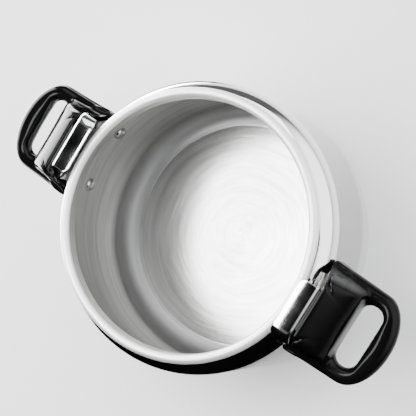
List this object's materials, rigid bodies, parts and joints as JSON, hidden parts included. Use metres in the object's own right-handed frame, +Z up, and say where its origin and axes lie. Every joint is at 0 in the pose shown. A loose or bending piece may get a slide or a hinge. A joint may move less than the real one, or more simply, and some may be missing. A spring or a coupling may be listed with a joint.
{
  "type": "pressure cooker pot",
  "caption": "Open round steel cooking pot with a rolled lip, polished shoulder, clamp ears riveted to its wall and black loop handles; sandwich base.",
  "frame": {"origin": "centre of the base's underside, on the pot's axis", "axes": "+Z up out of the mouth, X through the two handles, Y across them"},
  "size_m": [0.386, 0.2462, 0.17],
  "materials": {
    "pot_steel": "brushed inside, mirror shoulder and lip, satin wall",
    "core_aluminium": "plain rolled disc",
    "cap_steel": "circular brushed underside",
    "ear_steel": "mirror-polished stamped steel",
    "bracket_steel": "plain stamped steel",
    "handle_phenolic": "gloss moulded black phenolic",
    "gasket_rubber": "matt heat-resistant sheet",
    "rivet_steel": "domed, lightly polished",
    "insert_brass": "turned",
    "screw_steel": "zinc-plated fastener"
  },
  "bodies": {
    "root": {"pot_body": "pot_steel", "base_core": "core_aluminium", "base_cap": "cap_steel", "left_ear_plate": "ear_steel", "left_handle_bracket": "bracket_steel", "left_handle": "handle_phenolic", "left_heat_gasket": "gasket_rubber", "left_rivet_front": "rivet_steel", "left_insert_front": "insert_brass", "left_screw_front": "screw_steel", "left_washer_front": "screw_steel", "left_rivet_back": "rivet_steel", "left_insert_back": "insert_brass", "left_screw_back": "screw_steel", "left_washer_back": "screw_steel", "right_ear_plate": "ear_steel", "right_handle_bracket": "bracket_steel", "right_handle": "handle_phenolic", "right_heat_gasket": "gasket_rubber", "right_rivet_front": "rivet_steel", "right_insert_front": "insert_brass", "right_screw_front": "screw_steel", "right_washer_front": "screw_steel", "right_rivet_back": "rivet_steel", "right_insert_back": "insert_brass", "right_screw_back": "screw_steel", "right_washer_back": "screw_steel"}
  },
  "joints": []
}
